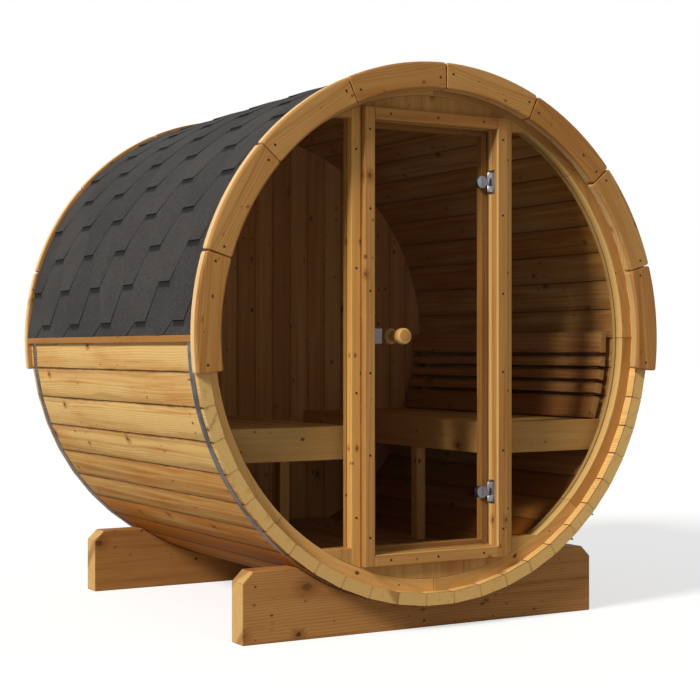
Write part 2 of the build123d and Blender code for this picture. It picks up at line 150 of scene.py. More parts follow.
def spruce(name, lie, pale, deep, knots=0.4, cut=None, bold=0.6, sawn_and_highlight_colour=sawn_and_highlight_pale, dirt_and_shade_weight=1.0, gloss=0.1):
    """Oiled spruce with year rings, streaks and knots. lie gives the grain, and cut masks the cut faces and
    the painted highlights, which all take the pale colour passed in. knots is the share of spots with a knot,
    and bold is its size. The joint weight darkens the joints: real soiling at joints, and painted shade at
    the arrises and gaps that some lies mark. gloss is the sheen of the oil."""
    ring_pitch = 0.0058
    left_out = 20.0
    material, start = blank(name)
    place, shade, edge = lie(start)
    along, across, through = place.parts()
    sawn_and_highlit = cut(start) if cut else 0.0 * shade
    sound = 1.0 - sawn_and_highlit
    grown = start.join(along, across + through, 0.0)

    ragged = (place.noise((70.0, 90.0, 90.0), 2.0) - 0.5) * 0.010
    far, (chance, girth, tone) = grown.spots((2.8, 8.0, 0.0), 0.7)
    ratio = (far + ragged) / (bold * (girth * girth * 0.013 + 0.0055)) + left_out * (chance > knots)
    core = ratio.ramp(1.1, 0.5) * sound
    halo = ratio.ramp(3.4, 0.8)
    dash_far, (dash_chance, dash_girth, dash_tone) = grown.spots((1.9, 7.0, 0.0), 0.2)
    dash_ratio = dash_far / (dash_girth * 0.003 + 0.002) + left_out * (dash_chance > knots * 0.8)
    dash = dash_ratio.ramp(1.4, 0.4) * sound
    cluster = grown.noise((2.4, 6.0, 0.0), 1.0).ramp(0.46, 0.56) * sound
    pin_far, (pin_chance, pin_girth, pin_tone) = grown.spots((16.0, 28.0, 0.0), 0.7)
    pin_ratio = (pin_far + ragged * 0.3) / (pin_girth * pin_girth * 0.0060 + 0.0018)
    pin_ratio = pin_ratio + left_out * (pin_chance > 0.30)
    pin = pin_ratio.ramp(1.2, 0.6) * cluster

    wander = place.noise((1.1, 5.0, 5.0), 2.0)
    lean = across + (shade - 0.5) * 0.13 + (wander - 0.5) * 0.05
    depth = through + shade * 0.05 + 0.035
    reach = (lean * lean + depth * depth).sum("SQRT") + halo * 0.007
    ring = (reach / ring_pitch) % 1.0
    late = ring.ramp(0.3, 0.9) * ring.ramp(1.0, 0.93)
    streak = place.noise((1.5, 48.0, 48.0), 3.0)
    cloud = place.noise((2.6, 13.0, 13.0), 3.0)
    stain = place.noise((1.1, 3.0, 3.0), 2.0)
    pores = place.noise((14.0, 420.0, 420.0), 1.0)

    mellow = (shade * 0.7 + streak + cloud * 0.9 + stain * 0.5 - 1.05).ramp(0.0, 1.0)
    late_wood = tuple(c * f for c, f in zip(deep, (0.66, 0.50, 0.38))) + (1.0,)
    knot_rim = (0.24, 0.088, 0.022, 1.0)
    knot_heart = (0.060, 0.021, 0.007, 1.0)
    joint_dirt_and_shade = (0.125, 0.052, 0.017, 1.0)
    # Boards whose shade runs past 0.85 turn towards the deepest colour. On the staves that is painted shade,
    # low down and on the inner faces.
    deep_and_shaded_wood = tuple(c * f for c, f in zip(deep, (0.62, 0.46, 0.34))) + (1.0,)
    colour = mellow.blend((*pale, 1.0), (*deep, 1.0))
    colour = (shade.ramp(0.85, 1.35) * 0.75).blend(colour, deep_and_shaded_wood)
    # Cut faces take the pale colour. The cuts of the knob, the arch boards and the door reveal use this same
    # blend as painted highlights.
    colour = (sawn_and_highlit * 0.85).blend(colour, (*sawn_and_highlight_colour, 1.0))
    colour = (late * 0.28 + streak.ramp(0.56, 0.8) * 0.3).blend(colour, late_wood)
    colour = (pores.ramp(0.55, 0.85) * 0.3).blend(colour, late_wood)
    colour = (halo * 0.6 + dash * 0.3).blend(colour, knot_rim)
    colour = (core * (tone * 0.45 + 0.45)).blend(colour, knot_heart)
    colour = (pin * (pin_tone * 0.5 + 0.4)).blend(colour, knot_heart)
    colour = (dash.ramp(0.5, 1.0) * (dash_tone * 0.4 + 0.4)).blend(colour, knot_heart)
    # Joints darken where a lie marks an edge. This is soiling at real joints, and painted shade at the
    # arrises and gaps that some lies mark.
    if edge:
        uneven = place.noise((18.0, 60.0, 60.0), 3.0) * 0.7 + place.noise((3.4, 12.0, 12.0), 2.0)
        grime_and_shade = (edge + (uneven - 0.85) * 0.009).ramp(0.0060, 0.0004)
        smudge_and_shade = (edge + (cloud - 0.62) * 0.09).ramp(0.010, -0.004)
        colour = (smudge_and_shade * (0.32 - sawn_and_highlit * 0.32) * dirt_and_shade_weight).blend(colour, knot_rim)
        colour = (grime_and_shade * (0.86 - sawn_and_highlit * 0.66) * dirt_and_shade_weight).blend(colour, joint_dirt_and_shade)

    height = late * 0.4 + pores * 0.35 + streak * 0.3 - pin * 0.5
    normal = height.node("ShaderNodeBump", {}, {"Strength": 0.35, "Distance": 0.0012, "Height": height})
    rough = 0.5 + streak * 0.18 - late * 0.08
    looks = {"Base Color": colour, "Roughness": rough, "Specular IOR Level": gloss, "Normal": normal}
    surface = normal.node("ShaderNodeBsdfPrincipled", {}, looks)
    surface.node("ShaderNodeOutputMaterial", {}, {"Surface": surface})
    return material


def straight(order, seed, split=None):
    """Grain along the first axis in order. split (axis, start, pitch) tells the boards of one solid apart."""

    def lie(start):
        axes = dict(zip("xyz", start.here().parts()))
        board = seed
        edge = None
        if split:
            axis, first, pitch = split
            count = (axes[axis] - first) / pitch
            board = count.sum("FLOOR") + seed
            edge = 0.5 * pitch - (count % 1.0 - 0.5).sum("ABSOLUTE") * pitch
        shade = start.node("ShaderNodeTexWhiteNoise", {"noise_dimensions": "1D"}, {"W": board})
        along, across, through = (axes[axis] for axis in order)
        return start.join(along + shade * 9.0, across + shade * 3.0, through), shade, edge

    return lie


def dress(name, material, eased):
    """Gives a solid its finish, and planes its sharp edges off."""
    piece = solids[name]
    piece.material_slots[0].material = material
    weld = piece.modifiers.new("weld", "WELD")
    weld.merge_threshold = 0.0001
    flats = piece.modifiers.new("flats", "DECIMATE")
    flats.decimate_type = "DISSOLVE"
    flats.angle_limit = math.radians(0.5)
    edge = piece.modifiers.new("eased", "BEVEL")
    edge.width = eased
    edge.segments = 2
    edge.limit_method = "ANGLE"
    edge.angle_limit = math.radians(35)
    edge.harden_normals = True


def cradle_cut(start):
    """Sawn ends and cut-off corners of a cradle."""
    end_face = 0.7494
    corner_face = 0.9612
    x, _, z = start.here().parts()
    flank = x.sum("ABSOLUTE")
    return (flank > end_face).sum("MAXIMUM", flank + z > corner_face)


cradle_pale = (0.52, 0.250, 0.078)
cradle_deep = (0.36, 0.145, 0.036)
for seed, cradle in enumerate(("cradle_front", "cradle_rear")):
    cradle_lie = straight("xzy", seed + 0.3)
    cradle_wood = spruce(cradle + "_spruce", cradle_lie, cradle_pale, cradle_deep, 0.7, cradle_cut, bold=0.9)
    dress(cradle, cradle_wood, eased=0.004)


# Staves
# Fifty planed spruce staves, bevelled to fit, lie side by side round the barrel and carry each other.
# Their arrises are eased, so that every joint shows as a fine dark line.
def new_tree(name, sizes):
    """A node tree whose inputs are the piece's own sizes."""
    tree = bpy.data.node_groups.new(name, "GeometryNodeTree")
    tree.interface.new_socket("Geometry", in_out="INPUT", socket_type="NodeSocketGeometry")
    for key, value in sizes.items():
        kind = "NodeSocketInt" if isinstance(value, int) else "NodeSocketFloat"
        tree.interface.new_socket(key, in_out="INPUT", socket_type=kind)
    tree.interface.new_socket("Geometry", in_out="OUTPUT", socket_type="NodeSocketGeometry")
    entry = tree.nodes.new("NodeGroupInput")
    return {key: Wire(tree, entry.outputs[key]) for key in ("Geometry", *sizes)}


def grow(name, shape, material, sizes, points=()):
    """Ends the tree, runs it on these points with these sizes, and keeps the outcome as a plain mesh."""
    whole = shape.node("GeometryNodeRealizeInstances", {}, {"Geometry": shape})
    dressed = whole.node("GeometryNodeSetMaterial", {}, {"Geometry": whole, "Material": material})
    way_out = shape.tree.nodes.new("NodeGroupOutput")
    shape.tree.links.new(dressed.socket, way_out.inputs["Geometry"])
    bed = bpy.data.objects.new(name + "_bed", bpy.data.meshes.new(name + "_bed"))
    bed.data.from_pydata(points, [], [])
    bpy.context.scene.collection.objects.link(bed)
    run = bed.modifiers.new("tree", "NODES")
    run.node_group = shape.tree
    for item in shape.tree.interface.items_tree:
        if item.name in sizes:
            run[item.identifier] = sizes[item.name]
    grown = bed.evaluated_get(bpy.context.evaluated_depsgraph_get())
    mesh = bpy.data.meshes.new_from_object(grown)
    bpy.data.objects.remove(bed)
    shell = bmesh.new()
    shell.from_mesh(mesh)
    bmesh.ops.recalc_face_normals(shell, faces=shell.faces)
    shell.to_mesh(mesh)
    shell.free()
    piece = bpy.data.objects.new(name, mesh)
    bpy.context.scene.collection.objects.link(piece)
    return piece


def stored(half_width=None, taper=0.0, rim=None):
    """Grain and shade that the boards of a grown piece carry. With rim, the inner face is painted deeper, as
    painted shade for the dim inside, with cleaner joints. Its arris at rim is painted dark, a line of painted
    shade."""
    inner_face = -0.0212
    inner_painted_shade = 0.22
    inner_margin = 0.0035

    def lie(start):
        place = start.node("ShaderNodeAttribute", {"attribute_name": "board_place"}, {}, "Vector")
        shade = start.node("ShaderNodeAttribute", {"attribute_name": "board_shade"}, {}, "Fac")
        along, across, through = place.parts()
        edge = half_width + through * taper - across.sum("ABSOLUTE") if half_width else None
        if rim:
            outside = through > inner_face
            shade = shade + inner_painted_shade * (1.0 - outside)
            edge = edge + inner_margin * (1.0 - outside)
            # The inner arris at rim gets a dark line: painted shade.
            arris = rim - along.sum("ABSOLUTE") + outside
            edge = edge.sum("MINIMUM", arris)
        return start.join(along + shade * 9.0, across + shade * 0.02, through), shade, edge

    return lie


def keep(shape, name, kind, value, domain="POINT"):
    """Writes a value on the shape, for the material or a later step."""
    settings = {"data_type": kind, "domain": domain}
    inputs = {"Geometry": shape, "Name": name, "Value": value}
    return shape.node("GeometryNodeStoreNamedAttribute", settings, inputs)


axis_height = 1.0585
barrel = {
    "Staves": 50,
    "Outer apothem": 0.965,
    "Thickness": 0.044,
    "Length": 1.664,
    "Joint gap": 0.0008,
    "Eased edge": 0.004,
    "Axis height": axis_height,
    "Seed": 11,
}
size = new_tree("stave_ring", barrel)
apothem = size["Outer apothem"]
half_turn = math.pi / size["Staves"]
slope = half_turn.sum("TANGENT")
outer_width = 2.0 * apothem * slope - size["Joint gap"]
inner_width = 2.0 * (apothem - size["Thickness"]) * slope - size["Joint gap"]
widths = {"Height": size["Thickness"], "Bottom Width": outer_width, "Top Width": inner_width, "Offset": 0.0}
section = slope.node("GeometryNodeCurvePrimitiveQuadrilateral", {"mode": "TRAPEZOID"}, widths)
easing = {"Curve": section, "Count": 2, "Radius": size["Eased edge"]}
section = section.node("GeometryNodeFilletCurve", {"mode": "POLY"}, easing)
half_length = size["Length"] / 2.0
ends = {"Start": slope.join(0.0, -1.0 * half_length, 0.0), "End": slope.join(0.0, half_length, 0.0)}
path = slope.node("GeometryNodeCurvePrimitiveLine", {}, ends)
swept = {"Curve": path, "Profile Curve": section, "Fill Caps": True}
stave = path.node("GeometryNodeCurveToMesh", {}, swept)
across, along, through = stave.node("GeometryNodeInputPosition", {}, {}).parts()
stave = keep(stave, "board_place", "FLOAT_VECTOR", stave.join(along, across, through))
number = stave.node("GeometryNodeInputIndex", {}, {})
angle = (number + 0.5) * 2.0 * half_turn
middle = apothem - size["Thickness"] / 2.0
stave_rise = middle * angle.sum("SINE") + size["Axis height"]
spot = angle.join(middle * angle.sum("COSINE"), 0.0, stave_rise)
places = spot.node("GeometryNodePoints", {}, {"Count": size["Staves"], "Position": spot})
turn = angle.join(0.0, math.pi / 2 - angle, 0.0)
laid = {"Points": places, "Instance": stave, "Rotation": turn}
ring = places.node("GeometryNodeInstanceOnPoints", {}, laid)
luck = ring.node("FunctionNodeRandomValue", {}, {2: 0.0, 3: 1.0, "ID": number, "Seed": size["Seed"]}, 1)
# The lower staves get a higher board shade, so they are painted darker and redder towards the ground: painted
# shade.
low_painted_shade = angle.sum("SINE").ramp(-0.26, -0.91)
ring = keep(ring, "board_shade", "FLOAT", luck * 0.55 + low_painted_shade * 0.85, "INSTANCE")


def stave_cut(start):
    """Sawn ends of the staves, and the pale rim just inside them."""
    place = start.node("ShaderNodeAttribute", {"attribute_name": "board_place"}, {}, "Vector")
    end_face = 0.8315
    lining_back = 0.790
    lining_front = 0.8255
    inner_face = 0.0212
    along, _, through = place.parts()
    reach = along.sum("ABSOLUTE")
    lining = ((reach > lining_back) - (reach > lining_front)) * (through * -1.0 > inner_face)
    return (reach > end_face).sum("MAXIMUM", lining)


stave_pale = (0.74, 0.495, 0.190)
stave_deep = (0.48, 0.185, 0.033)
stave_sawn = (0.83, 0.550, 0.200)
stave_lie = stored(half_width=0.0587, taper=0.0629, rim=0.832)
stave_look = {"cut": stave_cut, "bold": 0.9, "sawn_and_highlight_colour": stave_sawn, "gloss": 0.03}
stave_wood = spruce("stave_spruce", stave_lie, stave_pale, stave_deep, 0.4, **stave_look)
staves = grow("staves", ring, stave_wood, barrel)
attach(staves, "cabin")
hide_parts("staves_floor", "staves_lower_left", "staves_lower_right", "staves_upper_left")
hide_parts("staves_upper_right", "staves_ridge")


# Hoop bands
# Two flat bands, rolled from thin steel strip, go round the staves near the ends.
# They pull the joints of the staves tight.
def steel(name, colour, roughness, stretch, stain_and_reflection_dulling=0.72, stain_and_reflection_spread=0.75):
    """Brushed steel: fine scratches along the piece, faint stains. On the hoop bands the stains are strong,
    partly stains and partly painted reflection.
    """
    material, start = blank(name)
    spot = start.here()
    brush = spot.noise(stretch, 2.0)
    stain = spot.noise((14.0, 14.0, 14.0), 3.0)
    dull = tuple(c * stain_and_reflection_dulling for c in colour)
    tone = (stain.ramp(0.42, stain_and_reflection_spread) * 0.6 + brush * 0.3).blend((*colour, 1.0), (*dull, 1.0))
    rough = roughness + brush * 0.14 + stain * 0.08
    normal = brush.node("ShaderNodeBump", {}, {"Strength": 0.12, "Distance": 0.0004, "Height": brush})
    looks = {"Base Color": tone, "Roughness": rough, "Metallic": 1.0, "Normal": normal}
    surface = normal.node("ShaderNodeBsdfPrincipled", {}, looks)
    surface.node("ShaderNodeOutputMaterial", {}, {"Surface": surface})
    return material


# The bands' purple-grey and strong dark patches are partly the steel's own colour and stains, and partly
# painted reflection.
band_grey = (0.36, 0.335, 0.37)
band_steel = steel("band_steel", band_grey, 0.17, (3.0, 900.0, 3.0), stain_and_reflection_dulling=0.30, stain_and_reflection_spread=0.60)
solids["hoop_bands"].material_slots[0].material = band_steel


# Band tighteners
# Each band is closed low on the right: two bent lugs are spot-welded to it, and a threaded rod with a nut at
# each end draws them together.
def turned(shell, profile, sides, place):
    """Adds a round piece whose profile lists (reach along its axis, radius)."""
    rings = []
    for reach, radius in profile:
        ring = []
        for step in range(sides):
            angle = 2 * math.pi * step / sides
            spot = Vector((radius * math.cos(angle), radius * math.sin(angle), reach))
            ring.append(shell.verts.new(place @ spot))
        rings.append(ring)
    for low, high in zip(rings, rings[1:]):
        for step in range(sides):
            after = (step + 1) % sides
            shell.faces.new((low[step], low[after], high[after], high[step]))
    shell.faces.new(reversed(rings[0]))
    shell.faces.new(rings[-1])


def finished(name, shell, material, body):
    """Turns a built shell into a piece that rides on a body."""
    bmesh.ops.recalc_face_normals(shell, faces=shell.faces)
    mesh = bpy.data.meshes.new(name)
    shell.to_mesh(mesh)
    shell.free()
    mesh.materials.append(material)
    piece = bpy.data.objects.new(name, mesh)
    bpy.context.scene.collection.objects.link(piece)
    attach(piece, body)
    return piece


def lug(shell, foot, place):
    """Adds a bent lug: a foot on the band and an upright for the rod, 3 mm thick."""
    sheet = 0.003
    long = 0.026
    tall = 0.024
    bend = [(0.0, 0.0), (long, 0.0), (long, sheet), (sheet, sheet), (sheet, tall), (0.0, tall)]
    half_width = 0.016
    sides = []
    for y in (-half_width, half_width):
        sides.append([shell.verts.new(place @ Vector((foot * t, y, r))) for t, r in bend])
    shell.faces.new(sides[0])
    shell.faces.new(reversed(sides[1]))
    for step in range(len(bend)):
        after = (step + 1) % len(bend)
        shell.faces.new((sides[0][step], sides[1][step], sides[1][after], sides[0][after]))


band_outer = 0.9679
band_place = 0.790
lug_angles = (math.radians(-43.5), math.radians(-51.0))
spread = (lug_angles[0] - lug_angles[1]) / 2
rod_lift = 0.014
rod_half = band_outer * math.sin(spread)
tail = rod_half + 0.020
thread_pitch = 0.0025
thread_root = 0.0034
thread_crest = 0.0040
nut = [(-0.0035, 0.0064), (-0.0024, 0.0075), (0.0024, 0.0075), (0.0035, 0.0064)]
nut_place = rod_half + 0.0067
shell = bmesh.new()
for y in (-band_place, band_place):
    hub = Matrix.Translation((0.0, y, axis_height))
    for foot, angle in zip((-1.0, 1.0), lug_angles):
        turn = Matrix.Rotation(math.pi / 2 - angle, 4, "Y")
        lug(shell, foot, hub @ turn @ Matrix.Translation((0.0, 0.0, band_outer)))
    turn = Matrix.Rotation(math.pi / 2 - sum(lug_angles) / 2, 4, "Y")
    lift = Matrix.Translation((0.0, 0.0, band_outer * math.cos(spread) + rod_lift))
    rod = hub @ turn @ lift @ Matrix.Rotation(math.pi / 2, 4, "Y")
    threads = []
    for step in range(int(2 * tail / thread_pitch)):
        threads.append((step * thread_pitch - tail, thread_root))
        threads.append(((step + 0.5) * thread_pitch - tail, thread_crest))
    turned(shell, threads, 12, rod)
    for end in (-1.0, 1.0):
        turned(shell, nut, 6, rod @ Matrix.Translation((0.0, 0.0, end * nut_place)))
tightener_grey = (0.36, 0.35, 0.36)
tightener_steel = steel("tightener_steel", tightener_grey, 0.3, (60.0, 60.0, 60.0))
finished("band_tighteners", shell, tightener_steel, "cabin")


# Rear wall
# Twenty-one upright spruce boards, planed and laid edge to edge, fill the rear end.
# They are sawn to the round of the barrel and sit in the groove of the staves.
rear_boards = 21
rear_low, rear_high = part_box("rear_wall_boards")
rear_pitch = (rear_high.x - rear_low.x) / rear_boards
rear_lie = straight("zxy", 3.0, ("x", rear_low.x, rear_pitch))
# The rear wall boards are written lighter than the wood outside: painted light that makes up for the dim
# inside behind the tinted glass.
rear_painted_light_pale = (0.94, 0.55, 0.200)
rear_painted_light_deep = (0.72, 0.335, 0.105)
rear_wood = spruce("rear_wall_spruce", rear_lie, rear_painted_light_pale, rear_painted_light_deep, 0.4, dirt_and_shade_weight=0.4)
dress("rear_wall_boards", rear_wood, eased=0.003)


# Front wall
# A ring of curved spruce pieces sits in the groove of the staves. Posts stand beside the door, short boards
# fill the corners, and one board closes the arch over the door and one the arch under it.
def curved(seed, first, step):
    """Straight grain in each piece of a ring round the barrel, along the chord of that piece."""

    def lie(start):
        x, y, z = start.here().parts()
        rise = z - axis_height
        turn = (rise.sum("ARCTAN2", x) - first) / step
        board = turn.sum("FLOOR")
        middle = (board + 0.5) * step + first
        cosine = middle.sum("COSINE")
        sine = middle.sum("SINE")
        shade = start.node("ShaderNodeTexWhiteNoise", {"noise_dimensions": "1D"}, {"W": board + seed})
        along = rise * cosine - x * sine
        across = x * cosine + rise * sine
        return start.join(along + shade * 9.0, across, y), shade, None

    return lie


def ring_cut(start):
    """Sawn inner edge of the ring, beside the panes."""
    face_edge = 0.8785
    sawn_edge = 0.8750
    x, _, z = start.here().parts()
    rise = z - axis_height
    return (x * x + rise * rise).sum("SQRT").ramp(face_edge, sawn_edge)


ring_start = math.pi / -2
ring_step = math.pi / 4
ring_pale = (0.68, 0.385, 0.125)
ring_deep = (0.50, 0.24, 0.066)
ring_lie = curved(5.0, ring_start, ring_step)
ring_wood = spruce("ring_spruce", ring_lie, ring_pale, ring_deep, 0.4, ring_cut)
dress("front_ring_right", ring_wood, eased=0.004)
# The left part of the ring is written lighter than the right: painted light that makes up for the shade the
# staves' rim casts on it.
left_ring_painted_light_pale = (0.86, 0.50, 0.165)
left_ring_painted_light_deep = (0.66, 0.33, 0.092)
left_ring_lie = curved(6.0, ring_start, ring_step)
left_ring_painted_light_wood = spruce("ring_left_painted_light_spruce", left_ring_lie, left_ring_painted_light_pale, left_ring_painted_light_deep, 0.4, ring_cut)
dress("front_ring_left", left_ring_painted_light_wood, eased=0.004)
post_pale = (0.84, 0.49, 0.150)
post_deep = (0.66, 0.34, 0.088)
for seed, piece in enumerate(("front_post_left", "front_post_right")):
    post_wood = spruce(piece + "_spruce", straight("zxy", seed + 20.2), post_pale, post_deep, 0.35)
    dress(piece, post_wood, eased=0.004)
board_wood = spruce("arch_infill_spruce", straight("zxy", 31.0), ring_pale, ring_deep, 0.3)
for piece in ("front_top_board", "front_bottom_board", "front_corner_boards"):
    dress(piece, board_wood, eased=0.002)


# Door frame
# Two jambs with head and sill between them make a box for the door, planed from the same spruce.
# A narrow stop behind the glass is worked on each.
def framed(order, seed):
    """Grain of the door frame, with a dark joint where its flank meets the post."""
    plain = straight(order, seed)
    post_face = -0.790
    flank_face = 0.3055

    def lie(start):
        place, shade, _ = plain(start)
        x, y, _ = start.here().parts()
        off_flank = 1.0 - (x.sum("ABSOLUTE") > flank_face)
        return place, shade, post_face - y + off_flank

    return lie


def reveal_highlight_strips(start):
    """Two pale strips on the reveal in front of the glass, painted highlights of two lit planed steps, with
    the groove between them darker.
    """
    half_width = 0.2662
    half_height = 0.7722
    middle_height = 1.058
    x, y, z = start.here().parts()
    off_side = x.sum("ABSOLUTE") > half_width
    off_reveal = off_side.sum("MAXIMUM", (z - middle_height).sum("ABSOLUTE") > half_height)
    front_highlight = y.ramp(-0.804, -0.808)
    back_highlight = y.ramp(-0.777, -0.773) * y.ramp(-0.7565, -0.7575)
    return (front_highlight + back_highlight) * (1.0 - off_reveal)


jamb_pale = (0.52, 0.265, 0.080)
jamb_deep = (0.39, 0.162, 0.038)
rail_pale = (0.60, 0.320, 0.100)
rail_deep = (0.44, 0.190, 0.048)
for seed, piece in enumerate(("door_jamb_left", "door_jamb_right")):
    jamb_lie = framed("zxy", seed + 40.6)
    jamb_wood = spruce(piece + "_spruce", jamb_lie, jamb_pale, jamb_deep, 0.35, reveal_highlight_strips)
    dress(piece, jamb_wood, eased=0.004)
for seed, piece in enumerate(("door_head", "door_sill")):
    rail_lie = framed("xzy", seed + 50.1)
    rail_wood = spruce(piece + "_spruce", rail_lie, rail_pale, rail_deep, 0.35, reveal_highlight_strips)
    dress(piece, rail_wood, eased=0.004)


# Panes and door glass
# Bronze-tinted safety glass with polished edges. The panes sit in grooves of the front wall.
# The door is one frameless sheet.
def bronze_glass(name, low, high):
    """Tinted glass with a trace of dust, clear enough to show the cabin. The cut edges of the sheet that lies
    between the corners low and high are deeper in colour."""
    clean_bronze = (0.018, 0.009, 0.003, 1.0)
    dusty_bronze = (0.028, 0.016, 0.007, 1.0)
    edge_bronze = (0.120, 0.078, 0.036, 1.0)
    edge_depth = 0.0006
    face_cover = 0.13
    edge_cover = 0.80
    middle = (low + high) / 2
    half = (high - low) / 2
    material, start = blank(name)
    spot = start.here()
    dust = spot.noise((2.5, 2.5, 2.5), 4.0).ramp(0.35, 0.8)
    tone = dust.blend(clean_bronze, dusty_bronze)
    x, _, z = spot.parts()
    off_side = (x - middle.x).sum("ABSOLUTE") > half.x - edge_depth
    off_end = (z - middle.z).sum("ABSOLUTE") > half.z - edge_depth
    rim = off_side.sum("MAXIMUM", off_end)
    tone = rim.blend(tone, edge_bronze)
    cover = face_cover + (edge_cover - face_cover) * rim
    rough = dust * 0.06 + 0.03
    looks = {"Base Color": tone, "Roughness": rough, "Alpha": cover, "Specular IOR Level": 0.08}
    surface = dust.node("ShaderNodeBsdfPrincipled", {}, looks)
    surface.node("ShaderNodeOutputMaterial", {}, {"Surface": surface})
    return material


for piece in ("front_pane_left", "front_pane_right", "door_glass"):
    solids[piece].material_slots[0].material = bronze_glass(piece + "_bronze", *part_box(piece))

# Door fittings
# Stainless hinges: a leaf let into the jamb, and round clamps on both faces of the glass. A square plate of
# the same steel takes the latch near the free edge.
upright_brush = (8.0, 8.0, 700.0)
leaf_steel = steel("satin_steel", (0.60, 0.60, 0.61), 0.24, upright_brush)
clamp_steel = steel("clamp_steel", (0.34, 0.37, 0.41), 0.24, upright_brush)
latch_steel = steel("latch_steel", (0.20, 0.175, 0.18), 0.30, upright_brush)
dress("hinge_leaves", leaf_steel, eased=0.0008)
dress("hinge_clamps", clamp_steel, eased=0.0008)
dress("latch_plate", latch_steel, eased=0.0008)

# Door knob
# A knob on each face of the glass, turned from pale wood with a collar, a waist and a groove round the face.
# The two are joined through the glass.
knob_half = [
    (0.0000, 0.0126), (0.0042, 0.0126), (0.0043, 0.0172), (0.0066, 0.0178), (0.0084, 0.0166),
    (0.0108, 0.0138), (0.0160, 0.0126), (0.0220, 0.0132), (0.0262, 0.0160), (0.0286, 0.0220),
    (0.0312, 0.0266), (0.0352, 0.0289), (0.0410, 0.0295), (0.0500, 0.0294), (0.0560, 0.0286),
    (0.0602, 0.0266), (0.0624, 0.0238), (0.0630, 0.0214), (0.0624, 0.0202), (0.0630, 0.0190),
    (0.0637, 0.0130), (0.0640, 0.0060),
]
knob_profile = [(-reach, radius) for reach, radius in reversed(knob_half[1:])] + knob_half
knob_centre = Matrix.Translation((-0.139, -0.753, 1.061))
shell = bmesh.new()
turned(shell, knob_profile, 48, knob_centre @ Matrix.Rotation(math.pi / 2, 4, "X"))
knob_pale = (0.60, 0.31, 0.088)
knob_deep = (0.46, 0.21, 0.052)
# The pale rim colour is a painted highlight on the knob's rounded arris.
knob_rim_highlight_pale = (0.72, 0.46, 0.185)


def knob_rim_highlight(start):
    """Rounded arris of the knob between the groove and the flank, painted pale as a highlight."""
    x, _, z = start.here().parts()
    aside = x - knob_centre.translation.x
    rise = z - knob_centre.translation.z
    radius = (aside * aside + rise * rise).sum("SQRT")
    return radius.ramp(0.0195, 0.0225) * radius.ramp(0.0292, 0.0276)


knob_wood = spruce("knob_wood", straight("yxz", 61.0), knob_pale, knob_deep, 0.0, knob_rim_highlight, sawn_and_highlight_colour=knob_rim_highlight_pale)
knob = finished("knob", shell, knob_wood, "door")
knob.data.shade_smooth()
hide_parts("door_knob")

# Floor
# Seven planed spruce boards lie along the barrel, with gaps for the water to run off.
# They rest on joists that are sawn to the curve of the staves.
cabin_pale = (0.66, 0.33, 0.105)
cabin_deep = (0.38, 0.145, 0.040)
board_gap = 0.010
floor_count = 7
floor_low, floor_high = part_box("floor_boards")
floor_pitch = (floor_high.x - floor_low.x + board_gap) / floor_count
floor_lie = straight("yxz", 70.0, ("x", floor_low.x - board_gap / 2, floor_pitch))
floor_wood = spruce("floor_spruce", floor_lie, cabin_pale, cabin_deep, 0.4)
dress("floor_boards", floor_wood, eased=0.003)
joist_wood = spruce("joist_spruce", straight("xzy", 75.0), cabin_pale, cabin_deep, 0.4)
dress("floor_joists", joist_wood, eased=0.003)


# Benches and backrests
# Slatted seats on bearers and legs, with an apron in front, and backrests of flat slats on curved brackets,
# all planed from bare wood.
def backrest(start):
    """Grain along the five slats of a backrest, told apart by the gaps between them. The slats' edges beside
    the gaps are marked for darkening: painted shade that deepens the gaps.
    """
    slat_radius = 0.867
    lowest_angle = math.radians(-21.2)
    gap_middles = (0.0955, 0.1505, 0.2035, 0.2565)
    half_gap = 0.0065
    x, y, z = start.here().parts()
    rise = z - axis_height
    arc = (rise.sum("ARCTAN2", x.sum("ABSOLUTE")) - lowest_angle) * slat_radius
    slat = x.sum("SIGN") * 7.0 + 30.0
    edge = 1.0 + 0.0 * arc
    for gap_middle in gap_middles:
        slat = slat + (arc > gap_middle)
        edge = edge.sum("MINIMUM", (arc - gap_middle).sum("ABSOLUTE") - half_gap)
    shade = start.node("ShaderNodeTexWhiteNoise", {"noise_dimensions": "1D"}, {"W": slat})
    return start.join(y + shade * 9.0, arc, x), shade, edge


def backrest_cut(start):
    """Sawn front ends of the backrest slats."""
    slat_end = 0.6700
    y = start.here().parts()[1]
    return y * -1.0 > slat_end


# The bench wood is written lighter than the wood outside: painted light that makes up for the dim inside
# behind the tinted glass.
bench_painted_light_pale = (0.90, 0.58, 0.205)
bench_painted_light_deep = (0.70, 0.38, 0.115)
seat_slats = 5
for side in ("left", "right"):
    seat_low, seat_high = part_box(f"bench_{side}_seat")
    seat_pitch = (seat_high.x - seat_low.x + board_gap) / seat_slats
    seat_lie = straight("yxz", 80.0, ("x", seat_low.x - board_gap / 2, seat_pitch))
    seat_wood = spruce(f"seat_{side}_wood", seat_lie, bench_painted_light_pale, bench_painted_light_deep, 0.3)
    dress(f"bench_{side}_seat", seat_wood, eased=0.003)
    apron_wood = spruce(f"apron_{side}_wood", straight("yzx", 84.0), bench_painted_light_pale, bench_painted_light_deep, 0.3)
    dress(f"bench_{side}_apron", apron_wood, eased=0.003)
    bearer_wood = spruce(f"bearer_{side}_wood", straight("xzy", 86.0), bench_painted_light_pale, bench_painted_light_deep, 0.3)
    dress(f"bench_{side}_bearers", bearer_wood, eased=0.003)
    back_wood = spruce(f"backrest_{side}_wood", backrest, cabin_pale, cabin_deep, 0.3, backrest_cut)
    dress(f"backrest_{side}", back_wood, eased=0.003)
leg_wood = spruce("leg_wood", straight("zxy", 90.0), bench_painted_light_pale, bench_painted_light_deep, 0.3)
dress("bench_legs", leg_wood, eased=0.003)
